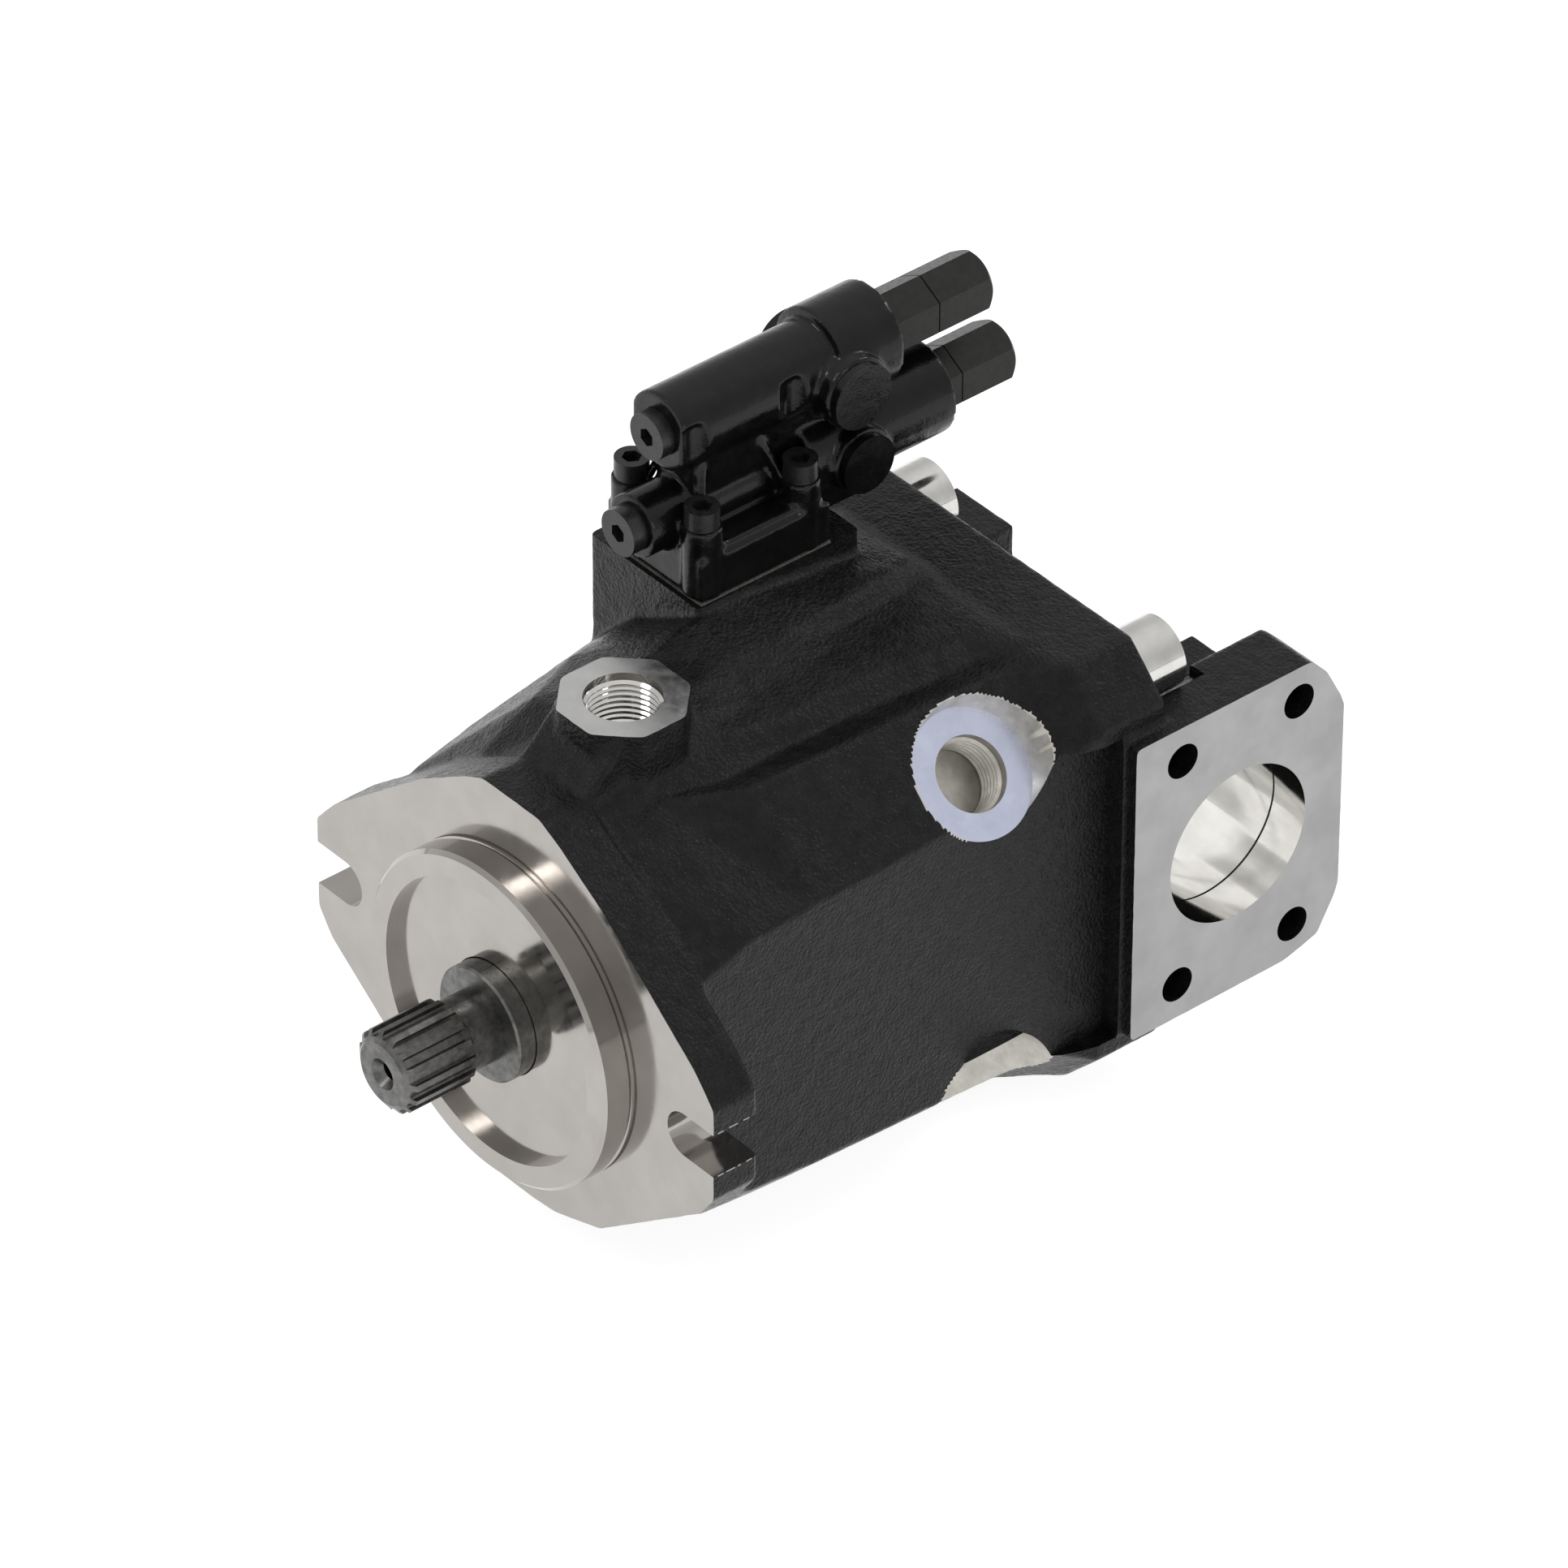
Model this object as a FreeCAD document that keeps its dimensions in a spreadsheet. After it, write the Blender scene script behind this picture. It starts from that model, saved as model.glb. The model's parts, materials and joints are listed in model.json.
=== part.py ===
"""Variable-displacement axial piston pump of the swash-plate type, with a two-spool control valve.

Frame: the origin is the centre of the mounting-flange face, on the shaft axis. The shaft points
to -Y and the pump body runs to +Y. +X is the suction side, -X the pressure side, +Z is up.
Every size below is in millimetres and lives in the spreadsheet "Sizes".
"""
import FreeCAD
import Part
import math
import os

import Sketcher

DIMENSIONS = {
    # mounting flange, two bolts at 146 mm, and its pilot
    "flange_thick": 15.6, "flange_end": 85.2, "flange_top": 71.5, "flange_bottom": 61.7,
    "pilot_radius": 50.8, "pilot_high": 9.7, "pilot_chamfer": 1.2,
    "recess_radius": 43.2, "recess_floor": 6.1,
    "slot_half": 7.15, "slot_centre": 73.0,
    # housing casting
    "housing_end": 161.6, "wall_x": 61.0, "rear_half_x": 66.5, "rear_half_z": 71.5,
    "plate_corner_x": 52.0, "plate_corner_z": 57.0,
    "cavity_radius": 55.0, "cavity_front": 34.0,
    "drain_radius": 11.1, "drain_depth": 19.0, "drain_y": 39.5, "drain_face": 86.8, "drain_flat": 17.7,
    "side_port_y": 121.3, "side_port_face": 70.5, "side_port_flat": 19.0,
    "side_port_deep": 14.0, "spot_flare": 7.5, "spot_deep": 14.0,
    "side_passage_start": 30.0, "passage_radius": 6.0,
    "block_left": 65.7, "block_right": 19.3, "block_front": 82.0, "block_rear": 140.0, "block_top": 85.0,
    # end cover with the two line ports
    "cover_plate": 16.0, "cover_back": 226.0, "port_y": 200.7,
    "suction_face": 72.0, "suction_back": 51.0, "suction_bore": 25.0, "line_bore_deep": 45.0,
    "suction_half_y": 38.5, "suction_half_z": 50.5, "suction_neck_half": 29.0, "suction_neck_start": 20.0,
    "suction_pitch_y": 42.9, "suction_pitch_z": 77.8, "suction_thread": 5.5, "suction_thread_deep": 19.0,
    "pressure_face": 70.0, "pressure_bore": 12.5, "pressure_half_y": 20.0, "pressure_half_z": 34.0,
    "pressure_back": 46.0, "pressure_neck_half": 22.0, "pressure_neck_end": 15.0,
    "pressure_pitch_y": 26.2, "pressure_pitch_z": 52.4, "pressure_thread": 4.6, "pressure_thread_deep": 18.0,
    "hub_radius": 44.0,
    "bolt_x": 48.0, "bolt_z": 57.5, "bolt_radius": 7.0, "bolt_head": 11.0, "bolt_head_high": 14.0,
    "bolt_hole_deep": 15.0, "bolt_thread_deep": 14.0, "head_clearance": 0.6,
    # drive shaft with its 25.4 mm spline
    "shaft_tip": 45.8, "spline_radius": 12.7, "spline_root": 10.9, "spline_end": 21.8, "neck_radius": 10.8,
    "collar_radius": 17.5, "collar_face": 12.0, "shoulder_radius": 20.5, "shaft_radius": 15.0,
    "journal_radius": 12.5, "shaft_back": 180.0, "centre_hole": 3.0, "centre_mouth": 4.8,
    # bearings and seal
    "front_bearing_front": 12.0, "front_bearing_back": 30.0, "front_bearing_outer": 31.0,
    "rear_bearing_front": 164.0, "rear_bearing_back": 179.0, "rear_bearing_outer": 26.0,
    "seal_outer": 26.0, "seal_front": 1.0, "seal_back": 9.0,
    # rotating group: nine pistons
    "pivot_y": 78.0, "swash_gap": 9.0, "bore_circle": 39.0, "ball_circle": 39.975,
    "bore_radius": 9.25, "piston_radius": 8.2, "piston_long": 55.0, "ball_radius": 7.0,
    "block_front_y": 100.0, "block_radius": 52.3, "valve_plate_thick": 5.0, "valve_plate_radius": 50.0,
    "cradle_radius": 46.0, "cradle_half_x": 46.0, "cradle_disc": 52.4, "cradle_disc_thick": 10.0,
    "shell_thick": 2.0, "actuator_x": 22.0, "actuator_z": 58.5, "actuator_bore": 8.5, "stem_long": 50.0,
    "ear_room_half": 8.8, "ear_room_high": 68.0, "ear_room_front": 52.0, "ear_path_high": 62.8, "ear_path_front": 44.0,
    "bias_pitch": 3.9, "bias_start": 97.5,
    # control valve
    "valve_x": 39.5, "lower_z": 105.0, "upper_z": 132.5, "valve_front": 82.6, "valve_rear": 130.0,
    "valve_half_x": 20.7, "gasket_thick": 0.6,
    "screw_pitch_x": 30.0, "screw_pitch_y": 35.0, "screw_front": 88.4, "screw_seat": 108.0,
    "screw_head": 5.0, "screw_radius": 3.0,
    "upper_back": 160.5, "lower_back": 180.0, "upper_gap": 178.3, "lower_gap": 187.0,
    "upper_end": 198.2, "lower_end": 207.0, "hex_flats": 17.0,
    "spool_radius": 5.8, "spool_bore": 6.0, "chamber_radius": 9.5,
    "lower_chamber": 141.0, "upper_chamber": 128.0, "lower_spool_front": 89.0, "upper_spool_front": 94.0,
    "lower_plug_front": 70.4, "lower_boss_front": 75.4, "upper_plug_front": 80.7, "upper_boss_front": 85.0,
}
PISTONS = 9
SPLINE_TEETH = 15
AXES = {"X": (1, 0, 0), "-X": (-1, 0, 0), "Y": (0, 1, 0), "-Y": (0, -1, 0), "Z": (0, 0, 1), "-Z": (0, 0, -1)}
DIAGONAL_UP = (math.sqrt(0.5), 0, math.sqrt(0.5))
DIAGONAL_DOWN = (math.sqrt(0.5), 0, -math.sqrt(0.5))
SLIP = 0.3
FIT = 0.1
BEARING_FIT = 0.05

doc = FreeCAD.newDocument("AxialPistonPump")
sheet = doc.addObject("Spreadsheet::Sheet", "Sizes")
parts = []


# ---------------------------------------------------------------- sizes that carry their expression
class Size:
    """A length with its present value and the expression that drives it."""

    def __init__(self, value, text):
        self.value = value
        self.text = text

    def join(self, other, sign, value):
        return Size(value, f"({self.text} {sign} {text_of(other)})")

    def __add__(self, other):
        return self.join(other, "+", self.value + value_of(other))

    def __radd__(self, other):
        return self + other

    def __sub__(self, other):
        return self.join(other, "-", self.value - value_of(other))

    def __rsub__(self, other):
        return -self + other

    def __mul__(self, other):
        return self.join(other, "*", self.value * value_of(other))

    def __truediv__(self, other):
        return self.join(other, "/", self.value / value_of(other))

    def __neg__(self):
        return Size(-self.value, f"(0 - {self.text})")


def value_of(size):
    return size.value if isinstance(size, Size) else size


def text_of(size):
    return size.text if isinstance(size, Size) else f"{size:.6f}"


class Sheet:
    """The spreadsheet's cells as sizes: at.pilot_radius and so on."""


at = Sheet()
for row, (alias, number) in enumerate(DIMENSIONS.items(), start=1):
    sheet.set(f"A{row}", alias)
    sheet.set(f"B{row}", str(number))
    sheet.setAlias(f"B{row}", alias)
    setattr(at, alias, Size(number, f"Sizes.{alias}"))
doc.recompute()


def bind(item, name, size):
    """Set a property to a size and tie it to the sheet."""
    if isinstance(size, Size):
        item.setExpression(name, size.text)
    elif "." not in name:
        setattr(item, name, size)
    else:
        item.setExpression(name, text_of(size))


# ---------------------------------------------------------------- building blocks
def new_body(label, place=(0, 0, 0)):
    """A sub-part: its label names its file, its placement is its position in the pump."""
    body = doc.addObject("PartDesign::Body", label)
    body.Label = label
    for axis, size in zip("xyz", place):
        if value_of(size):
            body.setExpression(f"Placement.Base.{axis}", text_of(size))
    parts.append(body)
    return body


def primitive(body, kind, name, place=(0, 0, 0), axis="Y", spin=0, **sizes):
    """An additive or subtractive primitive whose own Z axis points along the given axis."""
    item = body.newObject(f"PartDesign::{kind}", name)
    direction = FreeCAD.Vector(*AXES.get(axis, axis))
    turn = FreeCAD.Rotation(FreeCAD.Vector(0, 0, 1), direction)
    turn = turn.multiply(FreeCAD.Rotation(FreeCAD.Vector(0, 0, 1), spin))
    item.Placement = FreeCAD.Placement(FreeCAD.Vector(*map(value_of, place)), turn)
    for letter, size in zip("xyz", place):
        if isinstance(size, Size):
            item.setExpression(f"Placement.Base.{letter}", size.text)
    for prop, size in sizes.items():
        bind(item, prop, size)
    return item


def rod(body, name, radius, length, place, axis="Y"):
    return primitive(body, "AdditiveCylinder", name, place, axis, Radius=radius, Height=length)


def bore(body, name, radius, length, place, axis="Y"):
    return primitive(body, "SubtractiveCylinder", name, place, axis, Radius=radius, Height=length)


def cone(body, name, first, second, length, place, axis="Y", kind="AdditiveCone"):
    return primitive(body, kind, name, place, axis, Radius1=first, Radius2=second, Height=length)


def box(body, name, low, high, kind="AdditiveBox"):
    """A block between two corners."""
    spans = [b - a for a, b in zip(low, high)]
    return primitive(body, kind, name, low, "Z", Length=spans[0], Width=spans[1], Height=spans[2])


def pocket_box(body, name, low, high):
    return box(body, name, low, high, "SubtractiveBox")


def hexagon(body, name, flats, length, place, axis="Y", kind="AdditivePrism"):
    """A hexagonal bar, or socket, with two flats vertical when its axis is along Y."""
    corner = flats * (1 / math.sqrt(3))
    item = primitive(body, kind, name, place, axis, spin=90 if axis in ("Y", "-Y") else 0,
                     Circumradius=corner, Height=length)
    item.Polygon = 6
    return item


def origin_plane(body, role):
    return next(item for item in body.Origin.OriginFeatures if item.Role == role)


def sketch_on(body, name, role, offset=0):
    sketch = body.newObject("Sketcher::SketchObject", name)
    sketch.AttachmentSupport = [(origin_plane(body, role), "")]
    sketch.MapMode = "FlatFace"
    if value_of(offset):
        sketch.setExpression("AttachmentOffset.Base.z", text_of(offset))
    return sketch


def outline(sketch, points):
    """A closed polygon whose every corner is dimensioned from the origin."""
    count = len(points)
    corners = [FreeCAD.Vector(value_of(u), value_of(v), 0) for u, v in points]
    for index in range(count):
        sketch.addGeometry(Part.LineSegment(corners[index], corners[(index + 1) % count]), False)
    for index in range(count):
        sketch.addConstraint(Sketcher.Constraint("Coincident", index, 2, (index + 1) % count, 1))
    for index, (u, v) in enumerate(points):
        for kind, axis, size in (("DistanceX", -2, u), ("DistanceY", -1, v)):
            if not value_of(size):
                sketch.addConstraint(Sketcher.Constraint("PointOnObject", index, 1, axis))
                continue
            number = sketch.addConstraint(Sketcher.Constraint(kind, -1, 1, index, 1, value_of(size)))
            if isinstance(size, Size):
                sketch.setExpression(f"Constraints[{number}]", size.text)
    return sketch


def turned(body, name, profile, cut=False):
    """A turned shape about the body's Y axis, from a profile of (along, radius) corners."""
    sketch = outline(sketch_on(body, f"{name}Profile", "YZ_Plane"), profile)
    feature = body.newObject("PartDesign::Groove" if cut else "PartDesign::Revolution", name)
    feature.Profile = sketch
    feature.ReferenceAxis = (sketch, ["H_Axis"])
    feature.Angle = 360
    return feature


def plate(body, name, points, start, length, cut=False):
    """A plate parallel to the XZ plane, from start to start + length along Y."""
    sketch = outline(sketch_on(body, f"{name}Outline", "XZ_Plane", -start if value_of(start) else 0), points)
    feature = body.newObject("PartDesign::Pocket" if cut else "PartDesign::Pad", name)
    feature.Profile = sketch
    feature.Reversed = not cut
    bind(feature, "Length", length)
    return feature


def mirrored_outline(right_side):
    """A left-right symmetric outline from its right half, listed from top to bottom."""
    return right_side + [(-x, z) for x, z in reversed(right_side)]


def chamfer_edges(body, name, feature, size, wanted):
    """Chamfer the circular edges of the tip that the test picks."""
    doc.recompute()
    edges = [f"Edge{number}" for number, edge in enumerate(feature.Shape.Edges, start=1) if wanted(edge)]
    item = body.newObject("PartDesign::Chamfer", name)
    item.Base = (feature, edges)
    bind(item, "Size", size)
    return item


def is_circle(radius, y, x=0, z=0):
    """Tests for a whole circle of this radius in a plane across Y."""
    def test(edge):
        curve = edge.Curve
        return (isinstance(curve, Part.Circle) and abs(curve.Radius - value_of(radius)) < 0.01
                and abs(curve.Center.y - value_of(y)) < 0.01
                and abs(curve.Center.x - value_of(x)) < 0.01 and abs(curve.Center.z - value_of(z)) < 0.01)
    return test


# ---------------------------------------------------------------- housing casting
# Cross-sections of the casting, front to back. Each has the distance along Y, then the upper right
# corners (centre ridge, edge, trough, crest, trough, shoulder, wall), the lower right corners from
# the wall to the keel, and the left corners, all from top to bottom.
SECTIONS = [
    (14.6, [(8, 69), (12, 68.5), (16, 67), (20, 64), (25, 61), (33, 57), (61, 37)],
     [(61, -34), (40, -51), (12, -60)],
     [(-14, 68), (-35, 56), (-61, 39), (-61, -34), (-35, -51), (-12, -60)]),
    (34, [(8, 76), (12, 75.5), (15, 73), (18, 70), (20, 67), (22, 66.5), (61, 43)],
     [(61, -44), (38, -67), (12, -72)],
     [(-10, 77), (-33, 70), (-61, 44), (-61, -44), (-38, -67), (-12, -72)]),
    (56, [(4, 79), (10, 77), (14, 74), (20, 70.5), (26, 66.5), (34, 67.5), (61, 44)],
     [(61, -46), (36, -71), (12, -75)],
     [(-14, 81), (-42, 69), (-62, 47), (-62, -46), (-36, -71), (-12, -75)]),
    (76, [(-3, 80), (4, 77), (10, 74.5), (20, 72), (25, 66.5), (36, 69), (61, 44)],
     [(61, -47), (34, -74), (12, -76)],
     [(-17, 84), (-45, 68), (-64, 49), (-64, -47), (-34, -74), (-12, -76)]),
    (98, [(-2, 78.5), (4, 76), (8, 74.5), (20, 72), (26, 67), (37, 69), (61, 45)],
     [(61, -48), (34, -75), (12, -76)],
     [(-19, 83), (-47, 68), (-65, 50), (-65, -48), (-34, -75), (-12, -76)]),
    (120, [(-4, 78), (0, 74), (6, 73), (22, 72), (28, 67.5), (38, 69), (61, 46)],
     [(61, -50), (34, -76), (12, -76)],
     [(-22, 80), (-48, 68), (-65, 52), (-65, -50), (-34, -76), (-12, -76)]),
    (140, [(-7, 77.5), (-2, 73.5), (4, 73), (24, 72.5), (30, 69), (40, 69.5), (61.5, 48)],
     [(61.5, -50), (38, -73), (14, -74)],
     [(-30, 77), (-49, 69), (-65.5, 54), (-65.5, -52), (-40, -74), (-14, -74)]),
    (150, [(-10, 76), (-6, 73.5), (0, 72.5), (27, 72.5), (36, 71.5), (48, 71), (65, 54)],
     [(65, -54), (48, -71), (16, -72.5)],
     [(-40, 74), (-50, 71), (-66, 56), (-66, -55), (-48, -71), (-16, -72.5)]),
]


def section_outline(upper_right, lower_right, left):
    """One closed cross-section, clockwise from the centre ridge."""
    return upper_right + lower_right + list(reversed(left))


def rear_outline():
    """The casting's rear end, which matches the plate of the end cover."""
    x, z, shoulder, corner = at.rear_half_x, at.rear_half_z, at.plate_corner_x, at.plate_corner_z
    return section_outline([(-10, z), (-4, z), (2, z), (26, z), (38, z), (shoulder, z), (x, corner)],
                           [(x, -corner), (shoulder, -z), (16, -z)],
                           [(-44, z), (-shoulder, z), (-x, corner), (-x, -corner), (-shoulder, -z), (-16, -z)])


def make_housing():
    body = new_body("pump_housing")
    flange = mirrored_outline([
        (12, at.flange_top), (20.8, at.flange_top - 4.4), (38.9, 55.7), (77.5, 24.5), (at.flange_end, 15.5),
        (at.flange_end, -15.0), (79.8, -22.8), (36.8, -54.8), (17.5, -at.flange_bottom + 0.8),
        (8, -at.flange_bottom)])
    plate(body, "Flange", flange, 0, at.flange_thick)
    sections = [outline(sketch_on(body, f"Section{number}", "XZ_Plane", -y), section_outline(*sides))
                for number, (y, *sides) in enumerate(SECTIONS)]
    sections.append(outline(sketch_on(body, "RearSection", "XZ_Plane", -at.housing_end), rear_outline()))
    casting = body.newObject("PartDesign::AdditiveLoft", "Casting")
    casting.Profile = sections[0]
    casting.Sections = sections[1:]
    casting.Ruled = True
    pilot = rod(body, "Pilot", at.pilot_radius, at.pilot_high + 1, (0, -at.pilot_high, 0))
    chamfer_edges(body, "PilotChamfer", pilot, at.pilot_chamfer, is_circle(at.pilot_radius, -at.pilot_high))
    box(body, "ValvePad", (-at.block_left, at.block_front, 40), (-at.block_right, at.block_rear, at.block_top))
    drain = primitive(body, "AdditivePrism", "DrainBoss", (0, at.drain_y, 55), "Z", spin=22.5,
                      Circumradius=at.drain_flat * (1 / math.cos(math.pi / 8)), Height=at.drain_face - 55)
    drain.Polygon = 8
    primitive(body, "AdditiveWedge", "DrainRamp", (0, 16, 60), "Z", Xmin=-15, Xmax=15, X2min=-12, X2max=12,
              Ymin=0, Ymax=26, Z2min=7, Z2max=26, Zmin=0, Zmax=23)
    pocket_box(body, "SideTrim", (at.wall_x, 80, -52), (at.wall_x + 20, at.housing_end, 52))
    hollow_housing(body)
    return body


def hollow_housing(body):
    """Everything cut from the casting: bearing seats, the cradle chamber, ports and bolt holes."""
    turned(body, "FrontBores", [
        (-at.pilot_high - 1, 0), (-at.pilot_high - 1, at.recess_radius), (-1, at.recess_radius),
        (-1, at.seal_outer), (at.front_bearing_front, at.seal_outer),
        (at.front_bearing_front, at.front_bearing_outer), (at.cavity_front + 1, at.front_bearing_outer),
        (at.cavity_front + 1, 0)], cut=True)
    bore(body, "Chamber", at.cavity_radius, at.housing_end - at.cavity_front + 1, (0, at.cavity_front, 0))
    for name, side in (("Upper", 1), ("Lower", -1)):
        centre = at.actuator_x * -side
        for room, front, high in (("EarRoom", at.ear_room_front, at.ear_room_high),
                                  ("EarPath", at.ear_path_front, at.ear_path_high)):
            bottom, top = sorted((48 * side, high * side), key=value_of)
            pocket_box(body, f"{name}{room}", (centre - at.ear_room_half, front, bottom),
                       (centre + at.ear_room_half, 101, top))
        bore(body, f"{name}ActuatorBore", at.actuator_bore, at.housing_end - 99,
             (centre, 100, at.actuator_z * side))
        pocket_box(body, f"{name}DiscRoom", (-38, 40, min(30 * side, 59 * side)),
                   (38, 100, max(30 * side, 59 * side)))
    for name, side in (("Right", 1), ("Left", -1)):
        low, high = sorted((27 * side, 45 * side))
        box(body, f"{name}Saddle", (low, 32, -33), (high, 60, 33))
        inner, outer = sorted((at.slot_centre * side, (at.flange_end + 1) * side), key=value_of)
        pocket_box(body, f"{name}SlotMouth", (inner, -1, -at.slot_half),
                   (outer, at.flange_thick + 10, at.slot_half))
        bore(body, f"{name}SlotEnd", at.slot_half, at.flange_thick + 11, (at.slot_centre * side, -1, 0))
    bore(body, "CradleSeat", at.cradle_radius + at.shell_thick, 93, (-46.5, at.pivot_y, 0), "X")
    bore(body, "DrainPort", at.drain_radius, 50, (0, at.drain_y, at.drain_face - at.drain_depth), "Z")
    bore(body, "DrainPassage", at.passage_radius, 30, (0, at.drain_y + 4, at.drain_face - 40), "Z")
    for name, direction, up in (("Upper", DIAGONAL_UP, 1), ("Lower", DIAGONAL_DOWN, -1)):
        face = at.side_port_face * direction[0]
        start = (at.side_port_face - at.side_port_deep) * direction[0]
        inner = at.side_passage_start * direction[0]
        cone(body, f"{name}SpotFace", at.side_port_flat, at.side_port_flat + at.spot_flare, at.spot_deep,
             (face, at.side_port_y, face * up), direction, kind="SubtractiveCone")
        bore(body, f"{name}SidePort", at.drain_radius, at.side_port_deep + 6,
             (start, at.side_port_y, start * up), direction)
        bore(body, f"{name}SidePassage", at.passage_radius, 40, (inner, at.side_port_y, inner * up), direction)
    for index, (x, z) in enumerate(bolt_places()):
        bore(body, f"BoltHole{index}", at.bolt_radius, at.bolt_hole_deep + 1,
             (x, at.housing_end - at.bolt_hole_deep, z))
    for index, (x, y) in enumerate(screw_places()):
        bore(body, f"ScrewHole{index}", at.screw_radius, 14, (x, y, at.block_top - 13), "Z")


def bolt_places():
    return [(at.bolt_x * i, at.bolt_z * j) for i in (1, -1) for j in (1, -1)]


def screw_places():
    half = at.screw_pitch_x / 2
    return [(-at.valve_x - 0.7 + half * i, at.screw_front + at.screw_pitch_y * j) for i in (1, -1) for j in (0, 1)]


# ---------------------------------------------------------------- end cover
def make_cover():
    body = new_body("end_cover")
    x, z, shoulder, corner = at.rear_half_x, at.rear_half_z, at.plate_corner_x, at.plate_corner_z
    plate(body, "Plate", [(shoulder, z), (x, corner), (x, -corner), (shoulder, -z),
                          (-shoulder, -z), (-x, -corner), (-x, corner), (-shoulder, z)],
          at.housing_end, at.cover_plate)
    turned(body, "BearingHub", [(at.housing_end, 0), (at.housing_end, at.hub_radius), (190, at.hub_radius),
                                (205, 36), (214, 26), (at.cover_back, 12), (at.cover_back, 0)])
    y, z = at.suction_half_y, at.suction_half_z
    suction = [(at.port_y - y, z), (at.port_y - y, -z), (at.port_y + 18.5, -z), (at.port_y + 31, -z + 3.5),
               (at.port_y + 37, -z + 14), (at.port_y + y, -32), (at.port_y + y, 30),
               (at.port_y + 37, z - 16.5),
               (at.port_y + 31.5, z - 6), (at.port_y + 25.5, z)]
    sketch = outline(sketch_on(body, "SuctionOutline", "YZ_Plane", at.suction_face), suction)
    pad = body.newObject("PartDesign::Pad", "SuctionPad")
    pad.Profile = sketch
    pad.Reversed = True
    bind(pad, "Length", at.suction_face - at.suction_back)
    half = at.suction_neck_half
    box(body, "SuctionNeck", (at.suction_neck_start, at.port_y - y + 6, -half),
        (at.suction_back + 1, at.port_y + half, half))
    y, z = at.pressure_half_y, at.pressure_half_z
    box(body, "PressurePad", (-at.pressure_face, at.port_y - y, -z), (-at.pressure_back, at.port_y + y, z))
    half = at.pressure_neck_half
    box(body, "PressureNeck", (-at.pressure_back - 1, at.port_y - y, -half),
        (-at.pressure_neck_end, at.port_y + y, half))
    turned(body, "BearingPocket", [
        (at.housing_end - 1, 0), (at.housing_end - 1, at.rear_bearing_outer),
        (at.rear_bearing_back, at.rear_bearing_outer), (at.rear_bearing_back, 16),
        (at.rear_bearing_back + 5, 16), (at.rear_bearing_back + 5, 0)], cut=True)
    deep = at.line_bore_deep
    bore(body, "SuctionBore", at.suction_bore, deep + 1, (at.suction_face - deep, at.port_y, 0), "X")
    bore(body, "PressureBore", at.pressure_bore, deep + 1, (deep - at.pressure_face, at.port_y, 0), "-X")
    pocket_box(body, "SuctionKidney", (29, at.housing_end - 1, -22), (37, at.port_y, 22))
    pocket_box(body, "PressureKidney", (-36, at.housing_end - 1, -18), (-30, at.port_y, 18))
    for i in (1, -1):
        for j in (1, -1):
            y, z = at.port_y + at.suction_pitch_y / 2 * i, at.suction_pitch_z / 2 * j
            bore(body, "SuctionThread", at.suction_thread, at.suction_thread_deep + 1,
                 (at.suction_face + 1, y, z), "-X")
            y, z = at.port_y + at.pressure_pitch_y / 2 * i, at.pressure_pitch_z / 2 * j
            bore(body, "PressureThread", at.pressure_thread, at.pressure_thread_deep + 1,
                 (-at.pressure_face - 1, y, z), "X")
    for index, (x, z) in enumerate(bolt_places()):
        bore(body, f"BoltHole{index}", at.bolt_radius + 0.5, at.cover_plate + 2, (x, at.housing_end - 1, z))
        bore(body, f"HeadRoom{index}", at.bolt_head + at.head_clearance, at.bolt_head_high + 8,
             (x, at.housing_end + at.cover_plate, z))
    return body


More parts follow.
